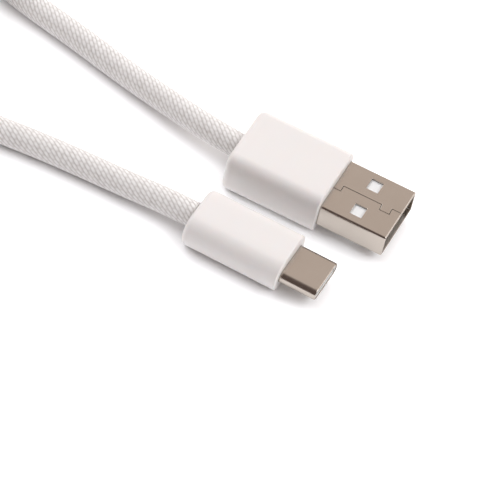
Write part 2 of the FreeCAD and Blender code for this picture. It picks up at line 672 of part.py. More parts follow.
def cord():
    coil = coil_ring("cord_coil", "0")
    bed = "coil_columns * cord_diameter + 4"

    def notch(sketch):
        rectangle(sketch, bed, "tie_width", "-coil_mean")

    extrude(coil, "Pocket", notch, "XY_Plane", "tie_thick", "2 * tie_thick")
    raised = coil_ring("raised_coil", "tie_thick")
    block = new_body("tie_block")
    tall = "coil_layers * cord_diameter + 2 * tie_thick"
    outline = ("coil_columns * cord_diameter + 2 * tie_thick", tall, "tie_round")
    extrude(block, "Pad", lambda s: rounded(s, *outline, "-coil_mean", f"({tall}) / 2"), "XZ_Plane",
            "-tie_width / 2", "tie_width")
    bind(block, "Placement.Base.x", "coil_x")
    bind(block, "Placement.Base.y", "coil_y")
    doc.recompute()
    tie = cut("cord_tie", cut("tie_over_coil", block, coil_copy(coil)), raised)
    NODES.extend([tie, coil])

    diameter = value("cord_diameter")
    for name, route, flex_end in (("a", ROUTE_A, FLEX_END_A), ("c", ROUTE_C, FLEX_END_C)):
        points = [V(*p) for p in route]
        last = int(flex_end)
        middle = points[last] + (points[last + 1] - points[last]) * (flex_end - last)
        flex, flex_radii, flex_length = tube_shape(points[:last + 1] + [middle], diameter)
        run, run_radii, run_length = tube_shape(beside_coil([middle] + points[last + 1:]), diameter)
        print(f"cord {name}: flex {flex_length:.1f} mm, run {run_length:.1f} mm, radii",
              [round(r) for r in flex_radii + run_radii])
        corner = V(-value(f"{name}_length"), -PLUG_BLOCK / 2, -PLUG_BLOCK / 4)
        plug = Part.makeBox(PLUG_BLOCK, PLUG_BLOCK, PLUG_BLOCK, corner)
        plug.Placement = doc.getObject(f"usb_{name}_housing").Placement
        NODES.append(feature_of(f"cord_flex_{name}", flex.cut(plug)))
        NODES.append(feature_of(f"cord_run_{name}", run))
    turns = value("coil_columns * coil_layers") - 0.5
    print(f"coil: {turns * 2 * math.pi * value('coil_mean'):.0f} mm in {turns} turns")


def coil_copy(coil):
    """The coil with its notch, as a tool for the tie."""
    tool = doc.addObject("Part::Compound", "coil_tool")
    tool.Links = [coil]
    return tool


# ---------------------------------------------------------------- check and write
usb_a_plug()
usb_c_plug()
cord()
doc.recompute()
for obj in doc.Objects:
    if "Invalid" in obj.State or "Error" in obj.State:
        raise RuntimeError(f"{obj.Label} failed: {obj.State}")
for obj in NODES:
    if obj.Shape.isNull() or not obj.Shape.isValid() or not obj.Shape.Solids:
        raise RuntimeError(f"{obj.Label} is not a sound solid")
os.makedirs("parts", exist_ok=True)
for obj in NODES:
    obj.Shape.exportStep(f"parts/{obj.Label}.step")
    box = obj.Shape.BoundBox
    print(f"{obj.Label}: {len(obj.Shape.Solids)} solids, {obj.Shape.Volume:.2f} mm3, "
          f"x {box.XMin:.2f} {box.XMax:.2f} y {box.YMin:.2f} {box.YMax:.2f} z {box.ZMin:.2f} {box.ZMax:.2f}")
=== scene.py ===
"""The charging cable's looks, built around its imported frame, in metres.

The housings, steel shells, woven cord and tie are modelled here. The small pieces inside the plugs keep their
own shapes and get materials.
"""
import bmesh
import bpy
import json
import math
import numpy as np
from mathutils import Matrix, Vector


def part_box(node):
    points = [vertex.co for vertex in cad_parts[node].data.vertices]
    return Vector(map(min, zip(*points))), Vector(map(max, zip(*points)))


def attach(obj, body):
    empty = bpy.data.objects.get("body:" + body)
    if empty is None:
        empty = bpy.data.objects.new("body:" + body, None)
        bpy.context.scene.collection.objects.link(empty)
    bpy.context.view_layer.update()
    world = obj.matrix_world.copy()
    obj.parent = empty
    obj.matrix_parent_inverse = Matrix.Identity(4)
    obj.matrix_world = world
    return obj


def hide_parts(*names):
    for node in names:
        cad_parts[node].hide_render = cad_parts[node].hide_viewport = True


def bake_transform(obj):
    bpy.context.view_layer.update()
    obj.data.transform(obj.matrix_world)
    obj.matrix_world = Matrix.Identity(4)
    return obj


MM = 0.001
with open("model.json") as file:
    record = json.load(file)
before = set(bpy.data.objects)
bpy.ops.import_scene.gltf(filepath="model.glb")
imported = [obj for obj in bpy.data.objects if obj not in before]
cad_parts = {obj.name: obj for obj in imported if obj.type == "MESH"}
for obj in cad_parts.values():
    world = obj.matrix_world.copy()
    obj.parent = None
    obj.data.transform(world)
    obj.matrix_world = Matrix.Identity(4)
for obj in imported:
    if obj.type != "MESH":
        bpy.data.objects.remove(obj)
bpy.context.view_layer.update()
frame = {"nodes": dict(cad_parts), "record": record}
NODES = frame["nodes"]

# ------------------------------------------------------------------ places, read from the frame
A_HOUSING = [np.array(p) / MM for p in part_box("usb_a_housing")]
A_SHELL = [np.array(p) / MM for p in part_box("usb_a_shell")]
A_FACE = float(A_HOUSING[1][0])
A_LENGTH = float(A_HOUSING[1][0] - A_HOUSING[0][0])
A_WIDTH = float(A_HOUSING[1][1] - A_HOUSING[0][1])
A_HEIGHT = float(A_HOUSING[1][2] - A_HOUSING[0][2])
A_AXIS = A_HEIGHT / 2
A_SHELL_OUT = float(A_SHELL[1][0]) - A_FACE

# ------------------------------------------------------------------ sizes, in millimetres
CORD_DIAMETER = 4.4
SHELL_IN = 7.0
SHELL_A = (12.0, 4.5, 0.45)
WALL_A = 0.3
C_FACE = (3.0, -16.9)
C_YAW = -1.2
C_LENGTH = 17.2
C_WIDTH = 10.9
C_HEIGHT = 6.2
C_AXIS = C_HEIGHT / 2
SHELL_C = (8.25, 2.4, 1.2)
WALL_C = 0.2
C_SHELL_OUT = 6.55
C_SHELL_IN = 4.5
# the steel's rim: how far back the outer rounding reaches, and shares of the sheet's thickness
RIM_LENGTH = 0.3
RIM_OUTER = 0.65
RIM_INNER = 0.35
RIM_INNER_LENGTH = 0.25
SMALLEST_BEND = 0.02
MOUTH_LIP = 0.12
# how far a cut's corner may be mitred, as the cosine of half its turn
MITRE_LIMIT = 0.3

A_PLACE = Matrix.Translation((A_FACE * MM, 0, 0))
C_TURN = Matrix.Rotation(math.radians(C_YAW), 4, "Z")
C_PLACE = Matrix.Translation((C_FACE[0] * MM, C_FACE[1] * MM, 0)) @ C_TURN


# ------------------------------------------------------------------ material helpers
class Nodes:
    """Short names for building one material."""

    def __init__(self, name):
        self.material = bpy.data.materials.new(name)
        self.material.use_nodes = True
        self.tree = self.material.node_tree
        self.shader = self.tree.nodes["Principled BSDF"]

    def new(self, kind, **settings):
        node = self.tree.nodes.new(kind)
        for key, val in settings.items():
            if key in node.inputs:
                node.inputs[key].default_value = val
            else:
                setattr(node, key, val)
        return node

    def link(self, source, target):
        self.tree.links.new(source, target)

    def math(self, operation, a, b=0.0, c=0.0):
        node = self.new("ShaderNodeMath", operation=operation)
        for socket, val in zip(node.inputs, (a, b, c)):
            if isinstance(val, (int, float)):
                socket.default_value = val
            else:
                self.link(val, socket)
        return node.outputs[0]

    def noise(self, scale, detail=3.0, roughness=0.5, vector=None):
        node = self.new("ShaderNodeTexNoise", Scale=scale, Detail=detail, Roughness=roughness)
        self.link(vector or self.position(), node.inputs["Vector"])
        return node.outputs["Fac"]

    def position(self, stretch=(1, 1, 1)):
        """The object's own coordinates, in millimetres, stretched."""
        coordinates = self.new("ShaderNodeTexCoord").outputs["Object"]
        mapping = self.new("ShaderNodeMapping")
        mapping.inputs["Scale"].default_value = [s / MM for s in stretch]
        self.link(coordinates, mapping.inputs["Vector"])
        return mapping.outputs["Vector"]

    def ramp(self, factor, stops):
        node = self.new("ShaderNodeValToRGB")
        elements = node.color_ramp.elements
        while len(elements) < len(stops):
            elements.new(0.5)
        for element, (place, color) in zip(elements, stops):
            element.position = place
            element.color = (*color, 1)
        self.link(factor, node.inputs["Fac"])
        return node.outputs["Color"]

    def mix(self, factor, a, b):
        node = self.new("ShaderNodeMix", data_type="RGBA")
        for name, kind, val in (("Factor", "VALUE", factor), ("A", "RGBA", a), ("B", "RGBA", b)):
            socket = next(s for s in node.inputs if s.name == name and s.type == kind)
            if isinstance(val, tuple):
                socket.default_value = (*val, 1)
            else:
                self.link(val, socket)
        return next(s for s in node.outputs if s.type == "RGBA")

    def range(self, factor, low, high):
        node = self.new("ShaderNodeMapRange")
        node.inputs["To Min"].default_value = low
        node.inputs["To Max"].default_value = high
        self.link(factor, node.inputs["Value"])
        return node.outputs["Result"]

    def bump(self, height, distance, strength=1.0, under=None):
        node = self.new("ShaderNodeBump")
        node.inputs["Distance"].default_value = distance
        node.inputs["Strength"].default_value = strength
        self.link(height, node.inputs["Height"])
        if under is not None:
            self.link(under, node.inputs["Normal"])
        return node.outputs["Normal"]

    def set(self, **values):
        for key, val in values.items():
            socket = self.shader.inputs[key.replace("_", " ")]
            if isinstance(val, (int, float)):
                socket.default_value = val
            else:
                self.link(val, socket)


# ------------------------------------------------------------------ materials
def moulded_plastic(name, light, warm, roughness, grain=0.004, subsurface=0.0):
    """A satin moulding: a faint cloud of colour, fine spark-eroded grain and a little shine that varies."""
    m = Nodes(name)
    cloud = m.noise(0.12, 2)
    fine = m.noise(9.0, 4, 0.6)
    m.set(Base_Color=m.mix(cloud, light, warm),
          Roughness=m.range(m.noise(1.5, 3), roughness - 0.05, roughness + 0.06),
          Normal=m.bump(fine, grain * MM))
    m.shader.inputs["IOR"].default_value = 1.47
    if subsurface:
        m.shader.inputs["Subsurface Weight"].default_value = subsurface
        m.shader.inputs["Subsurface Radius"].default_value = (0.0012, 0.0007, 0.0005)
        m.shader.inputs["Subsurface Scale"].default_value = 1.0
    return m.material


def plated_steel(name, base, dark, roughness):
    """Nickel-plated sheet: fine rolling lines along the plug, soft smudges and a little uneven shine."""
    m = Nodes(name)
    lines = m.noise(1.0, 4, 0.65, m.position((0.35, 14, 14)))
    smudge = m.noise(0.35, 3)
    m.set(Base_Color=m.mix(smudge, base, dark), Metallic=1.0,
          Roughness=m.range(m.noise(0.9, 4), roughness - 0.04, roughness + 0.05),
          Normal=m.bump(lines, 0.0012 * MM, 0.6))
    return m.material


def stamped_metal(name, base, dark, roughness):
    """Small stamped pieces, with a fine grain."""
    m = Nodes(name)
    m.set(Base_Color=m.mix(m.noise(1.2, 3), base, dark), Metallic=1.0,
          Roughness=m.range(m.noise(6.0, 2), roughness - 0.05, roughness + 0.08),
          Normal=m.bump(m.noise(20.0, 2), 0.001 * MM))
    return m.material


def circuit_board():
    """Green solder mask with paler tracks that run under it."""
    m = Nodes("solder_mask")
    wave = m.new("ShaderNodeTexWave", Scale=0.6, Distortion=3.0)
    m.link(m.position(), wave.inputs["Vector"])
    track = m.math("GREATER_THAN", wave.outputs["Fac"], 0.62)
    m.set(Base_Color=m.mix(track, (0.01, 0.09, 0.03), (0.03, 0.2, 0.07)),
          Roughness=m.range(m.noise(4), 0.25, 0.4), Normal=m.bump(track, 0.02 * MM))
    return m.material


def wire_insulation():
    """Black insulation, which turns dark green toward the far side of the USB-A plug."""
    m = Nodes("wire_insulation")
    across = m.new("ShaderNodeSeparateXYZ")
    m.link(m.position(), across.inputs[0])
    share = m.range(m.math("MULTIPLY", across.outputs["Y"], 0.1), 0.0, 1.0)
    color = m.ramp(share, [(0.0, (0.02, 0.02, 0.02)), (0.45, (0.02, 0.3, 0.06))])
    m.set(Base_Color=m.mix(m.range(m.noise(3), 0.0, 0.15), color, (0.1, 0.1, 0.1)),
          Roughness=m.range(m.noise(2), 0.4, 0.5), Normal=m.bump(m.noise(8), 0.004 * MM))
    return m.material


# The braid: RIBS yarn ribs wind round the cord, each made of grains that lie in a half-step bond.
RIBS = 18
RIB_PITCH = 1.02
GRAIN_PITCH = 2 * RIB_PITCH
# how full a rib and a grain are, as powers of a sine, and how much of the height the grains take
RIB_SHAPE = 0.7
GRAIN_SHAPE = 0.8
GRAIN_BUMP = 0.62
GRAIN_RELIEF = 0.6


def braid_material():
    """White polyester yarn. The UV map holds the rib number and the grain number of each point. The valleys
    between the ribs and between the grains are painted darker, as painted shade.
    """
    m = Nodes("woven_cord")
    uv = m.new("ShaderNodeUVMap", uv_map="braid")
    split = m.new("ShaderNodeSeparateXYZ")
    m.link(uv.outputs["UV"], split.inputs[0])
    rib, grain = split.outputs["X"], split.outputs["Y"]
    wander = m.math("MULTIPLY_ADD", m.noise(0.9, 2), 0.3, -0.15)
    rib = m.math("ADD", rib, wander)
    across = m.math("FRACT", rib)
    bond = m.math("MULTIPLY", m.math("FLOOR", rib), 0.5)
    along = m.math("FRACT", m.math("ADD", grain, bond))
    hill = m.math("SINE", m.math("MULTIPLY", across, math.pi))
    crown = m.math("SINE", m.math("MULTIPLY", along, math.pi))
    ridge = m.math("POWER", hill, RIB_SHAPE)
    rise = m.math("MULTIPLY_ADD", m.math("POWER", crown, GRAIN_SHAPE), GRAIN_BUMP, 1 - GRAIN_BUMP)
    height = m.math("MULTIPLY", ridge, rise)
    uneven = m.math("MULTIPLY_ADD", m.noise(1.1, 2, 0.6), 0.5, -0.2)
    # fine filaments, along each rib
    fibre_place = m.new("ShaderNodeCombineXYZ")
    m.link(m.math("MULTIPLY", rib, 7.0), fibre_place.inputs["X"])
    m.link(m.math("MULTIPLY", grain, 0.9), fibre_place.inputs["Y"])
    fibre = m.noise(1.0, 3, 0.7, fibre_place.outputs[0])
    # painted shade: the colour darkens with the relief's height, so the valleys between ribs and grains are
    # painted darker; the fibre and the noise add random tone
    painted_shade_and_tone = m.math("ADD", m.math("MULTIPLY", height, 0.8), m.math("MULTIPLY", fibre, 0.35))
    painted_shade_and_tone = m.math("ADD", painted_shade_and_tone, uneven)
    # the ramp's dark end is the painted shade in the valleys, its light end the yarn's own white
    color = m.ramp(painted_shade_and_tone, [(0.15, (0.46, 0.43, 0.41)), (0.55, (0.69, 0.675, 0.665)),
                           (0.95, (0.86, 0.855, 0.85))])
    patch = m.noise(0.25, 2)
    m.set(Base_Color=m.mix(m.range(patch, 0.0, 0.12), color, (0.62, 0.56, 0.52)),
          Roughness=m.range(fibre, 0.62, 0.82),
          Normal=m.bump(fibre, 0.015 * MM, 0.6, m.bump(height, 0.05 * MM, 0.8)))
    m.shader.inputs["Sheen Weight"].default_value = 0.1
    m.shader.inputs["Sheen Roughness"].default_value = 0.5
    m.shader.inputs["Specular IOR Level"].default_value = 0.3
    return m.material


def tie_material():
    """Brushed nylon tape, with a fine loop pile."""
    m = Nodes("hook_and_loop_tape")
    pile = m.noise(7.0, 5, 0.75)
    weave = m.new("ShaderNodeTexVoronoi", Scale=4.0)
    m.link(m.position(), weave.inputs["Vector"])
    color = m.ramp(m.math("MULTIPLY", pile, 1.2), [(0.3, (0.42, 0.4, 0.38)), (0.75, (0.72, 0.7, 0.67))])
    m.set(Base_Color=color, Roughness=m.range(pile, 0.75, 0.95),
          Normal=m.bump(pile, 0.08 * MM, 0.9, m.bump(weave.outputs["Distance"], 0.05 * MM, 0.6)))
    m.shader.inputs["Sheen Weight"].default_value = 0.4
    return m.material


HOUSING = moulded_plastic("satin_white_housing", (0.75, 0.735, 0.725), (0.77, 0.745, 0.73), 0.42, 0.003, 0.12)
PLUG_STEEL = plated_steel("nickel_plated_steel", (0.48, 0.435, 0.39), (0.45, 0.405, 0.36), 0.2)
BRAID = braid_material()
FINISHES = {
    "plug_steel": PLUG_STEEL,
    "stamped_steel": stamped_metal("tinned_steel", (0.62, 0.6, 0.57), (0.5, 0.48, 0.46), 0.35),
    "spring_steel": stamped_metal("spring_steel", (0.6, 0.58, 0.55), (0.5, 0.48, 0.46), 0.28),
    "insulator": moulded_plastic("white_insulator", (0.78, 0.79, 0.79), (0.74, 0.75, 0.75), 0.5),
    "inner_mould": moulded_plastic("polyethylene_mould", (0.62, 0.62, 0.6), (0.55, 0.55, 0.53), 0.45,
                                   grain=0.01, subsurface=0.2),
    "gold_plated_contact": stamped_metal("gold_plating", (0.85, 0.62, 0.25), (0.75, 0.53, 0.2), 0.2),
    "solder": stamped_metal("soft_solder", (0.65, 0.65, 0.66), (0.5, 0.5, 0.52), 0.25),
    "wire_insulation": wire_insulation(),
    "circuit_board": circuit_board(),
    "chip": moulded_plastic("chip_resistor", (0.02, 0.02, 0.02), (0.05, 0.05, 0.05), 0.4),
    "woven_cord": BRAID,
    "tie": tie_material(),
    "housing": HOUSING,
}


# ------------------------------------------------------------------ mesh helpers
def mesh_object(name, points, faces, material, place=None):
    """A smooth mesh object from points in millimetres."""
    mesh = bpy.data.meshes.new(name)
    mesh.from_pydata([tuple(p) for p in np.asarray(points, float)], [], faces)
    mesh.validate()
    mesh.materials.append(material)
    obj = bpy.data.objects.new(name, mesh)
    bpy.context.scene.collection.objects.link(obj)
    mesh.shade_smooth()
    if place is not None:
        mesh.transform(place @ Matrix.Scale(MM, 4))
    return obj


def outward(obj):
    """Turns every face of a closed mesh outward."""
    mesh = bmesh.new()
    mesh.from_mesh(obj.data)
    bmesh.ops.recalc_face_normals(mesh, faces=mesh.faces)
    mesh.to_mesh(obj.data)
    mesh.free()
    return obj


def apply_modifiers(obj):
    """Turns what the modifiers make into the object's own mesh."""
    graph = bpy.context.evaluated_depsgraph_get()
    mesh = bpy.data.meshes.new_from_object(obj.evaluated_get(graph))
    obj.modifiers.clear()
    old, obj.data = obj.data, mesh
    bpy.data.meshes.remove(old)


def outline(width, height, radius, steps=10, flat=6, centre=(0.0, 0.0)):
    """A rounded rectangle across the plug, counterclockwise, with as many points at any size."""
    radius = min(radius, width / 2, height / 2)
    corners = [(1, 1, 0), (-1, 1, 90), (-1, -1, 180), (1, -1, 270)]

    def on_corner(corner, turn):
        side, level, start = corner
        angle = math.radians(start + turn)
        return np.array((side * (width / 2 - radius) + radius * math.cos(angle),
                         level * (height / 2 - radius) + radius * math.sin(angle)))

    loop = []
    for corner, after in zip(corners, corners[1:] + corners[:1]):
        loop += [on_corner(corner, 90 * i / steps) for i in range(steps + 1)]
        here, there = loop[-1], on_corner(after, 0)
        loop += [here + (there - here) * i / flat for i in range(1, flat)]
    return np.array(loop) + np.array(centre)


def ring_mesh(name, rings, material, place):
    """A closed skin over rings, each an x and an outline, with the last ring joined to the first."""
    points = np.concatenate([np.column_stack([np.full(len(loop), x), loop]) for x, loop in rings])
    count, around = len(rings), len(rings[0][1])
    faces = []
    for i in range(count):
        a, b = i * around, (i + 1) % count * around
        for j in range(around):
            k = (j + 1) % around
            faces.append((a + j, a + k, b + k, b + j))
    return mesh_object(name, points, faces, material, place)


def rounded_end(width, height, radius, bend, end, direction, axis, steps=6):
    """Rings that round the edge of an end face at x = end, from the side to the face."""
    rings = []
    for i in range(steps + 1):
        turn = math.pi / 2 * i / steps
        inset = bend * (1 - math.cos(turn))
        x = end - direction * bend * (1 - math.sin(turn))
        loop = outline(width - 2 * inset, height - 2 * inset, radius - inset, centre=(0, axis))
        rings.append((x, loop))
    return rings


# ------------------------------------------------------------------ housings
def housing(name, node, size, nose_bend, tail_bend, mouth, inside, place, body):
    """A moulded housing, hollow as its CAD part.

    size is length, width, height and edge radius, mouth is the shell's outline, and inside lists the hollow's
    sections from front to rear: x, width, height and corner radius.
    """
    length, width, height, radius = size
    axis = height / 2
    rings = [(-length, outline(CORD_DIAMETER, CORD_DIAMETER, CORD_DIAMETER / 2, centre=(0, axis)))]
    rings += reversed(rounded_end(width, height, radius, tail_bend, -length, -1, axis))
    for share in (0.25, 0.5, 0.75):
        x = -length + tail_bend + share * (length - tail_bend - nose_bend)
        rings.append((x, outline(width, height, radius, centre=(0, axis))))
    rings += rounded_end(width, height, radius, nose_bend, 0.0, 1, axis)
    for turn in (0, math.pi / 4, math.pi / 2):
        inset = MOUTH_LIP * (1 - math.sin(turn))
        loop = outline(mouth[0] + 2 * inset, mouth[1] + 2 * inset, mouth[2] + inset, centre=(0, axis))
        rings.append((-MOUTH_LIP * (1 - math.cos(turn)), loop))
    for x, wide, high, bend in inside:
        rings.append((x, outline(wide, high, bend, centre=(0, axis))))
    obj = ring_mesh(name, rings, HOUSING, place)
    weighted = obj.modifiers.new("normals", "WEIGHTED_NORMAL")
    weighted.keep_sharp = True
    apply_modifiers(obj)
    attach(obj, body)
    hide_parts(node)


housing("usb_a_housing_skin", "usb_a_housing", (A_LENGTH, A_WIDTH, A_HEIGHT, 2.0), 0.35, 1.2, SHELL_A,
        [(-SHELL_IN, *SHELL_A), (-SHELL_IN - 0.02, 11.6, 5.8, 0.8), (-14.0, 11.6, 5.8, 0.8),
         (-14.02, 5.2, 5.2, 2.6), (-15.2, 5.2, 5.2, 2.6),
         (-15.22, CORD_DIAMETER, CORD_DIAMETER, CORD_DIAMETER / 2)], A_PLACE, "usb_a_plug")
housing("usb_c_housing_skin", "usb_c_housing", (C_LENGTH, C_WIDTH, C_HEIGHT, 2.9), 0.3, 1.0, SHELL_C,
        [(-2.0, *SHELL_C), (-2.02, 8.8, 4.2, 0.8), (-12.5, 8.8, 4.2, 0.8), (-12.52, 5.0, 5.0, 2.5),
         (-15.0, 5.0, 5.0, 2.5), (-15.02, CORD_DIAMETER, CORD_DIAMETER, CORD_DIAMETER / 2)],
        C_PLACE, "usb_c_plug")


# ------------------------------------------------------------------ steel shells
def box_cutter(name, low, high):
    """A block to cut a hole with, in millimetres."""
    (x0, y0, z0), (x1, y1, z1) = low, high
    points = [(x, y, z) for x in (x0, x1) for y in (y0, y1) for z in (z0, z1)]
    faces = [(0, 1, 3, 2), (4, 6, 7, 5), (0, 4, 5, 1), (2, 3, 7, 6), (0, 2, 6, 4), (1, 5, 7, 3)]
    return outward(mesh_object(name, points, faces, PLUG_STEEL))


def strip_cutter(name, line, width, low, high):
    """A narrow wall along a line of (x, y) points, to cut a seam with."""
    line = np.array(line, float)
    left, right = [], []
    for i, point in enumerate(line):
        before = line[max(i - 1, 0)]
        after = line[min(i + 1, len(line) - 1)]
        first = (point - before) if i else (after - point)
        last = (after - point) if i < len(line) - 1 else (point - before)
        first, last = first / np.linalg.norm(first), last / np.linalg.norm(last)
        normal = np.array((-(first + last)[1], (first + last)[0]))
        normal /= np.linalg.norm(normal)
        reach = width / 2 / max(MITRE_LIMIT, abs(normal @ np.array((-first[1], first[0]))))
        left.append(point + normal * reach)
        right.append(point - normal * reach)
    loop = left + right[::-1]
    count = len(loop)
    points = [(*p, low) for p in loop] + [(*p, high) for p in loop]
    faces = [(i, (i + 1) % count, count + (i + 1) % count, count + i) for i in range(count)]
    half = count // 2
    for i in range(half - 1):
        j = count - 1 - i
        faces.append((i + 1, i, j, j - 1))
        faces.append((count + i, count + i + 1, count + j - 1, count + j))
    return outward(mesh_object(name, points, faces, PLUG_STEEL))


def subtract(obj, cutters):
    """Cuts each cutter out of the object, then removes the cutters."""
    for cutter in cutters:
        boolean = obj.modifiers.new("cut", "BOOLEAN")
        boolean.operation = "DIFFERENCE"
        boolean.solver = "EXACT"
        boolean.object = cutter
        apply_modifiers(obj)
        bpy.data.objects.remove(cutter)


def shell_rings(size, wall, back, front, axis, steps):
    """The outer and inner skins of a steel shell, with a rounded rim at its mouth."""
    width, height, radius = size
    rings = [(back, outline(width, height, radius, steps, 1, centre=(0, axis)))]
    for reach, deep, start in ((RIM_LENGTH, RIM_OUTER * wall, 0),
                               (RIM_INNER_LENGTH * wall, RIM_INNER * wall, 90)):
        for i in range(5):
            turn = math.radians(start + 90 * i / 4)
            inset = RIM_OUTER * wall - deep * math.cos(turn)
            x = front - reach + reach * math.sin(turn)
            bend = max(radius - inset, SMALLEST_BEND)
            loop = outline(width - 2 * inset, height - 2 * inset, bend, steps, 1, centre=(0, axis))
            rings.append((x, loop))
    bend = max(radius - wall, SMALLEST_BEND)
    rings.append((back, outline(width - 2 * wall, height - 2 * wall, bend, steps, 1, centre=(0, axis))))
    return rings


def finish_metal(obj, node, body, place, bevel):
    """Bevels the cut edges, places the shell and lets it stand for its CAD part."""
    if bevel:
        edge = obj.modifiers.new("edges", "BEVEL")
        edge.width = bevel
        edge.segments = 2
        edge.limit_method = "ANGLE"
        edge.angle_limit = math.radians(50)
        apply_modifiers(obj)
    obj.data.transform(place @ Matrix.Scale(MM, 4))
    obj.data.shade_smooth()
    obj.data.set_sharp_from_angle(angle=math.radians(40))
    weighted = obj.modifiers.new("normals", "WEIGHTED_NORMAL")
    weighted.keep_sharp = True
    weighted.weight = 100
    apply_modifiers(obj)
    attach(obj, body)
    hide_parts(node)


WINDOW_BACK, WINDOW_FRONT = 7.3, 5.2
WINDOW_NEAR, WINDOW_FAR = 1.95, 4.4
SEAM_WIDTH = 0.09
EDGE_BEVEL = 0.05
# the seam from the housing's face to the tip: x from the face, y off the middle
SEAM = [
    (-SHELL_IN - 1, -1.05), (1.35, -1.05), (1.25, 0.2), (8.2, 0.2), (8.3, -1.0), (10.1, -1.0), (10.0, 0.3),
    (A_SHELL_OUT + 1, 0.3),
]


def usb_a_shell():
    """The folded shell, with its latch windows and the dovetailed seam on top."""
    rings = shell_rings(SHELL_A, WALL_A, -SHELL_IN, A_SHELL_OUT, A_AXIS, 8)
    obj = ring_mesh("usb_a_shell_skin", rings, PLUG_STEEL, None)
    back, front = A_SHELL_OUT - WINDOW_BACK, A_SHELL_OUT - WINDOW_FRONT
    above, below = A_AXIS + 3, A_AXIS - 3
    cutters = []
    for side in (-1, 1):
        near, far = sorted((side * WINDOW_NEAR, side * WINDOW_FAR))
        cutters.append(box_cutter("window", (back, near, below), (front, far, above)))
    cutters.append(strip_cutter("seam", SEAM, SEAM_WIDTH, A_AXIS + 1, above))
    subtract(obj, cutters)
    finish_metal(obj, "usb_a_shell", "usb_a_plug", A_PLACE, EDGE_BEVEL)


def usb_c_shell():
    """The seamless oval shell."""
    rings = shell_rings(SHELL_C, WALL_C, -C_SHELL_IN, C_SHELL_OUT, C_AXIS, 16)
    obj = ring_mesh("usb_c_shell_skin", rings, PLUG_STEEL, None)
    finish_metal(obj, "usb_c_shell", "usb_c_plug", C_PLACE, 0)


usb_a_shell()
usb_c_shell()

# ------------------------------------------------------------------ the woven cord
# Each route starts at the rear of its housing and ends on the coil, in millimetres.
ROUTE_A = [
    (-14.4, 0.0, 4.0), (-20.3, 0.8, 3.7), (-28.5, 2.9, 2.8), (-38.0, 5.2, 2.2), (-48.6, 7.8, 2.25),
    (-60.0, 10.1, 2.2), (-71.5, 14.4, 2.25), (-81.3, 18.6, 2.2), (-89.0, 19.8, 2.25),
]
ROUTE_C = [
    (-14.2, -16.54, 3.1), (-19.6, -16.4, 3.0), (-26.6, -16.5, 2.5), (-34.4, -16.5, 2.2), (-42.4, -17.0, 2.25),
    (-51.0, -17.9, 2.2), (-59.6, -20.3, 4.2), (-67.8, -24.6, 6.5), (-75.4, -29.4, 6.7), (-82.0, -31.9, 6.5),
    (-89.0, -32.8, 6.5),
]
COIL_CENTRE = (-89.0, -6.5)
COIL_MEAN = 22.0
COIL_TURNS = 5.5
SPLICE_TURN = 2.25
POINTS_PER_TURN = 24
# how far the strands rise where they pass over the tie's lower side, and over what angle, in radians
TIE_LIFT = 0.8
TIE_SPREAD = 0.45
# where the cord steps to the coil's next column or layer: start and end turn, columns out, layers up
STEPS = [
    (0.74, 1.02, -1, 0), (1.74, 2.02, -1, 0), (2.66, 2.94, 0, 1), (3.57, 3.85, 1, 0), (4.57, 4.85, 1, 0),
]


def smooth(t):
    """A soft step from 0 to 1 as t goes from 0 to 1."""
    t = min(max(t, 0.0), 1.0)
    return t * t * (3 - 2 * t)


def coil_point(turn):
    """The coil's centreline, counted in turns from where the USB-A side enters it."""
    radius, height = COIL_MEAN + CORD_DIAMETER, CORD_DIAMETER / 2
    for start, end, out, up in STEPS:
        share = smooth((turn - start) / (end - start))
        radius += share * out * CORD_DIAMETER
        height += share * up * CORD_DIAMETER
    angle = math.pi / 2 + 2 * math.pi * turn
    from_tie = math.remainder(angle - math.pi, 2 * math.pi)
    height += TIE_LIFT * math.exp(-(from_tie / TIE_SPREAD) ** 2)
    radius /= math.cos(math.pi / POINTS_PER_TURN)
    return (COIL_CENTRE[0] + radius * math.cos(angle), COIL_CENTRE[1] + radius * math.sin(angle), height)


def coil_points(first, last):
    """Control points of the coil between two turns."""
    count = max(2, round(abs(last - first) * POINTS_PER_TURN))
    return [coil_point(first + (last - first) * i / count) for i in range(1, count + 1)]


def centreline(route):
    """Points in metres along one smooth spline through a route."""
    curve = bpy.data.curves.new("route", "CURVE")
    curve.dimensions = "3D"
    curve.resolution_u = 12
    spline = curve.splines.new("NURBS")
    spline.points.add(len(route) - 1)
    for point, place in zip(spline.points, route):
        point.co = (*(c * MM for c in place), 1)
    spline.order_u = 3
    spline.use_endpoint_u = True
    obj = bpy.data.objects.new("route", curve)
    bpy.context.scene.collection.objects.link(obj)
    mesh = bpy.data.meshes.new_from_object(obj)
    line = np.array([v.co for v in mesh.vertices], float)
    bpy.data.objects.remove(obj)
    bpy.data.curves.remove(curve)
    bpy.data.meshes.remove(mesh)
    return line


def along(line, spacing_near, spacing_far, near):
    """The line resampled by length: spacing_near up to the length near, then spacing_far."""
    steps = np.linalg.norm(np.diff(line, axis=0), axis=1)
    length = np.concatenate([[0], np.cumsum(steps)])
    places = np.concatenate([np.arange(0, near, spacing_near), np.arange(near, length[-1], spacing_far)])
    places[-1] = length[-1]
    return np.column_stack([np.interp(places, length, line[:, i]) for i in range(3)]), places


COLUMNS_PER_RIB = 4
COLUMNS = COLUMNS_PER_RIB * RIBS
RELIEF = 0.05
# each half has modelled grains for the length nearest its plug, which fade out at the end of it
FINE_LENGTH = 62.0
FADE_LENGTH = 6.0
FINE_SPACING = 0.2
COARSE_SPACING = 0.5
SMOOTHING = 5


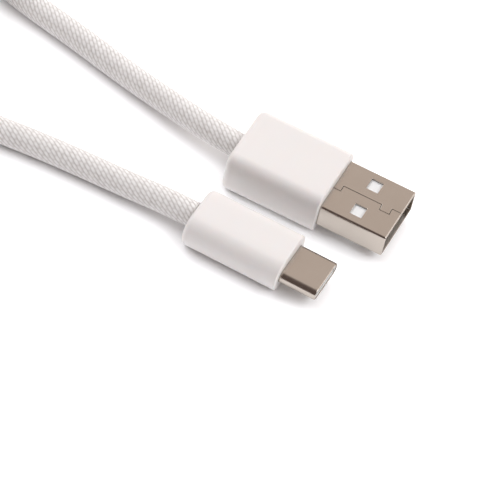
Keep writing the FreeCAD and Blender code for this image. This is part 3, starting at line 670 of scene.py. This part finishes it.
def across_line(points):
    """The directions to the side and up, square to a line, at each of its points."""
    tangents = np.gradient(points, axis=0)
    kernel = np.ones(SMOOTHING) / SMOOTHING
    padded = np.pad(tangents, ((SMOOTHING // 2, SMOOTHING // 2), (0, 0)), mode="edge")
    tangents = np.column_stack([np.convolve(padded[:, i], kernel, "valid") for i in range(3)])
    tangents /= np.linalg.norm(tangents, axis=1)[:, None]
    side = np.cross(np.tile((0.0, 0.0, 1.0), (len(points), 1)), tangents)
    side /= np.linalg.norm(side, axis=1)[:, None]
    return side, np.cross(tangents, side)


def braid_radius(s, rib, grain):
    """The cord's radius in millimetres at each rib and grain number, s millimetres along it."""
    fine = np.clip((FINE_LENGTH - s) / FADE_LENGTH, 0, 1)[:, None]
    along_grain = np.mod(grain + 0.5 * np.floor(rib), 1)
    hill = np.sin(math.pi * np.mod(rib, 1)) ** RIB_SHAPE
    crown = 1 - fine * (1 - np.sin(math.pi * along_grain) ** GRAIN_SHAPE) * GRAIN_RELIEF
    return CORD_DIAMETER / 2 - RELIEF * (1 - hill * crown)


def store_braid(mesh, rib, grain, cap_count):
    """Writes the rib and grain number of each corner into the UV map that the material reads."""
    rows = len(rib) - 1
    ribs = np.concatenate([rib, rib[:, :1] - RIBS], axis=1)
    grains = np.concatenate([grain, grain[:, :1] + RIBS / 2], axis=1)
    i = np.repeat(np.arange(rows), COLUMNS)
    j = np.tile(np.arange(COLUMNS), rows)
    corner_i = np.stack([i, i, i + 1, i + 1], axis=1)
    corner_j = np.stack([j, j + 1, j + 1, j], axis=1)
    uv = np.stack([ribs[corner_i, corner_j], grains[corner_i, corner_j]], axis=-1).reshape(-1, 2)
    uv = np.concatenate([uv, np.zeros((3 * cap_count, 2))])
    layer = mesh.uv_layers.new(name="braid")
    layer.data.foreach_set("uv", uv.astype(np.float32).ravel())


def woven_cord(name, route):
    """A tube whose columns follow the braid's ribs, with a relief of ribs and grains."""
    points, places = along(centreline(route), FINE_SPACING * MM, COARSE_SPACING * MM, FINE_LENGTH * MM)
    side, up = across_line(points)
    s = places / MM
    column = np.arange(COLUMNS)
    phi = 2 * math.pi * (column[None, :] / COLUMNS + s[:, None] / (RIBS * RIB_PITCH))
    rib = np.broadcast_to(-column[None, :] / COLUMNS_PER_RIB, phi.shape)
    grain = s[:, None] / GRAIN_PITCH + phi * (RIBS / 2) / (2 * math.pi)
    ring = side[:, None, :] * np.cos(phi)[..., None] + up[:, None, :] * np.sin(phi)[..., None]
    skin = points[:, None, :] + ring * (braid_radius(s, rib, grain) * MM)[..., None]
    count = len(points)
    index = np.arange(count * COLUMNS).reshape(count, COLUMNS)
    after = np.roll(index, -1, axis=1)
    quads = np.stack([index[:-1], after[:-1], after[1:], index[1:]], axis=-1).reshape(-1, 4)
    vertices = np.concatenate([skin.reshape(-1, 3), points[:1], points[-1:]])
    first, last = len(vertices) - 2, len(vertices) - 1
    caps = [(first, int(after[0, j]), int(index[0, j])) for j in range(COLUMNS)]
    caps += [(last, int(index[-1, j]), int(after[-1, j])) for j in range(COLUMNS)]
    mesh = bpy.data.meshes.new(name)
    mesh.from_pydata(vertices.tolist(), [], quads.tolist() + caps)
    store_braid(mesh, rib, grain, len(caps))
    mesh.materials.append(BRAID)
    mesh.shade_smooth()
    obj = bpy.data.objects.new(name, mesh)
    bpy.context.scene.collection.objects.link(obj)
    length = float(np.linalg.norm(np.diff(points, axis=0), axis=1).sum())
    return obj, points, length


cord_a, path_a, length_a = woven_cord("cord_usb_a_half", ROUTE_A + coil_points(0.0, SPLICE_TURN))
cord_c, path_c, length_c = woven_cord("cord_usb_c_half", ROUTE_C + coil_points(COIL_TURNS, SPLICE_TURN))


# ------------------------------------------------------------------ tie
TIE_THICK = 0.75
TIE_BEND = 2.6
TIE_EDGE = 0.3


def tie():
    """A soft strap round the bundle."""
    low, high = (np.array(p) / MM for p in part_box("cord_tie"))
    wide, length, tall = high - low
    outer = outline(wide, tall, TIE_BEND, 8, 6)
    inner = outline(wide - 2 * TIE_THICK, tall - 2 * TIE_THICK, TIE_BEND - TIE_THICK, 8, 6)
    half = length / 2
    worn = outer * (1 - TIE_EDGE / wide)
    rings = [(-half, worn), (-half + TIE_EDGE, outer), (0, outer), (half - TIE_EDGE, outer), (half, worn)]
    rings += [(y, inner) for y in (half, 0, -half)]
    turn = Matrix.Translation(Vector((low + high) / 2) * MM) @ Matrix.Rotation(math.radians(90), 4, "Z")
    obj = ring_mesh("hook_and_loop_tie", rings, FINISHES["tie"], turn)
    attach(obj, "cord")
    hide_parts("cord_tie")


tie()

# ------------------------------------------------------------------ materials of the CAD pieces
SLOTS = {part["node"]: part["material_slot"] for part in frame["record"]["subparts"]}
for node, obj in NODES.items():
    material = FINISHES[SLOTS[node]]
    obj.data.materials.clear()
    obj.data.materials.append(material)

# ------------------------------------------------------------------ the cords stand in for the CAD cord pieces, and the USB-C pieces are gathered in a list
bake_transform(cord_a)
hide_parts("cord_flex_a", "cord_run_a")
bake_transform(cord_c)
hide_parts("cord_flex_c", "cord_run_c", "cord_coil")
c_pieces = [NODES[n] for n in NODES if n.startswith("usb_c_") and n not in ("usb_c_housing", "usb_c_shell")]
c_pieces += [bpy.data.objects["usb_c_housing_skin"], bpy.data.objects["usb_c_shell_skin"]]

# ------------------------------------------------------------------ floor, light and camera
# the camera's aim and distance in millimetres, and its angles in degrees
CAMERA_TARGET = (-4.355, -15.4, 0.0)
CAMERA_AZIMUTH, CAMERA_ELEVATION, CAMERA_ROLL = 15.055, 48.568, 14.726
CAMERA_DISTANCE = 722.0
CAMERA_LENS = 324.0
# the floor's half side in metres, how far from the object its painted contact shadow reaches, and the painted
# glow it gives
FLOOR_REACH = 1.5
CONTACT_SHADOW_REACH = 3.0 * MM
FLOOR_GLOW = 0.4


def floor():
    """A pale card that glows a little, a painted light of its own, with a painted contact shadow where the
    glow fades close to the object.
    """
    mesh = bpy.data.meshes.new("floor")
    corners = [(x * FLOOR_REACH, y * FLOOR_REACH, 0) for x, y in ((-1, -1), (1, -1), (1, 1), (-1, 1))]
    mesh.from_pydata(corners, [], [(0, 1, 2, 3)])
    m = Nodes("floor_card")
    m.set(Base_Color=m.mix(m.noise(0.02, 2), (0.93, 0.93, 0.935), (0.94, 0.94, 0.945)), Roughness=0.9)
    # painted contact shadow: ambient occlusion dims the floor's painted glow close to the object
    near = m.new("ShaderNodeAmbientOcclusion", Distance=CONTACT_SHADOW_REACH)
    near.samples = 8
    m.shader.inputs["Emission Color"].default_value = (0.95, 0.97, 1.0, 1)
    m.set(Emission_Strength=m.math("MULTIPLY", m.math("POWER", near.outputs["AO"], 1.6), FLOOR_GLOW))
    m.shader.inputs["Specular IOR Level"].default_value = 0.1
    mesh.materials.append(m.material)
    obj = bpy.data.objects.new("floor", mesh)
    bpy.context.scene.collection.objects.link(obj)


NEAR_SKY = (0.16, 0.12, 0.11)
FAR_SKY = (0.90, 0.80, 0.74)
BOX_LIGHT = (3.6, 3.65, 3.75)
# where the sky changes, from one value of a direction's coordinate to another
NEAR_TO_FAR = (-0.35, 0.3)
BOX_SIDE = (0.36, 0.5)
BOX_TOP = (0.42, 0.62)
BOX_BACK = (-0.45, -0.15)


def studio():
    """A soft dome, dim and warm near and brighter far, with a soft box high on the left and on the right."""
    world = bpy.data.worlds.new("studio")
    bpy.context.scene.world = world
    world.use_nodes = True
    tree = world.node_tree
    direction = tree.nodes.new("ShaderNodeTexCoord").outputs["Generated"]
    split = tree.nodes.new("ShaderNodeSeparateXYZ")
    tree.links.new(direction, split.inputs[0])

    def share(amount, edge):
        node = tree.nodes.new("ShaderNodeMapRange")
        node.interpolation_type = "SMOOTHSTEP"
        node.inputs["From Min"].default_value, node.inputs["From Max"].default_value = edge
        tree.links.new(amount, node.inputs["Value"])
        return node.outputs["Result"]

    def mixed(factor, a, b):
        node = tree.nodes.new("ShaderNodeMix")
        node.data_type = "RGBA"
        tree.links.new(factor, node.inputs[0])
        if isinstance(a, tuple):
            node.inputs[6].default_value = (*a, 1)
        else:
            tree.links.new(a, node.inputs[6])
        node.inputs[7].default_value = (*b, 1)
        return node.outputs[2]

    sideways = tree.nodes.new("ShaderNodeMath")
    sideways.operation = "ABSOLUTE"
    tree.links.new(split.outputs["X"], sideways.inputs[0])
    box = share(sideways.outputs[0], BOX_SIDE)
    for edge in (share(split.outputs["Z"], BOX_TOP), share(split.outputs["Y"], BOX_BACK)):
        product = tree.nodes.new("ShaderNodeMath")
        product.operation = "MULTIPLY"
        tree.links.new(box, product.inputs[0])
        tree.links.new(edge, product.inputs[1])
        box = product.outputs[0]
    around = mixed(share(split.outputs["Y"], NEAR_TO_FAR), NEAR_SKY, FAR_SKY)
    dome = mixed(box, around, BOX_LIGHT)
    tree.links.new(dome, tree.nodes["Background"].inputs["Color"])


def camera():
    """A long lens, looking down at the plugs from the near side and turned a little about its own axis."""
    azimuth, elevation, roll = (math.radians(a) for a in (CAMERA_AZIMUTH, CAMERA_ELEVATION, CAMERA_ROLL))
    back = Vector((math.sin(azimuth) * math.cos(elevation), -math.cos(azimuth) * math.cos(elevation),
                   math.sin(elevation)))
    right = (-back).cross(Vector((0, 0, 1))).normalized()
    up = right.cross(-back)
    tilt_right = right * math.cos(roll) + up * math.sin(roll)
    tilt_up = up * math.cos(roll) - right * math.sin(roll)
    data = bpy.data.cameras.new("camera")
    data.lens = CAMERA_LENS
    data.sensor_width = 36.0
    data.clip_start = 0.01
    data.clip_end = 10.0
    obj = bpy.data.objects.new("camera", data)
    bpy.context.scene.collection.objects.link(obj)
    turn = Matrix((tilt_right, tilt_up, back)).transposed().to_4x4()
    place = Vector(CAMERA_TARGET) * MM + back * CAMERA_DISTANCE * MM
    obj.matrix_world = Matrix.Translation(place) @ turn
    bpy.context.scene.camera = obj


floor()
studio()
camera()
bpy.context.scene.view_settings.view_transform = "Standard"
bpy.context.scene.view_settings.look = "None"
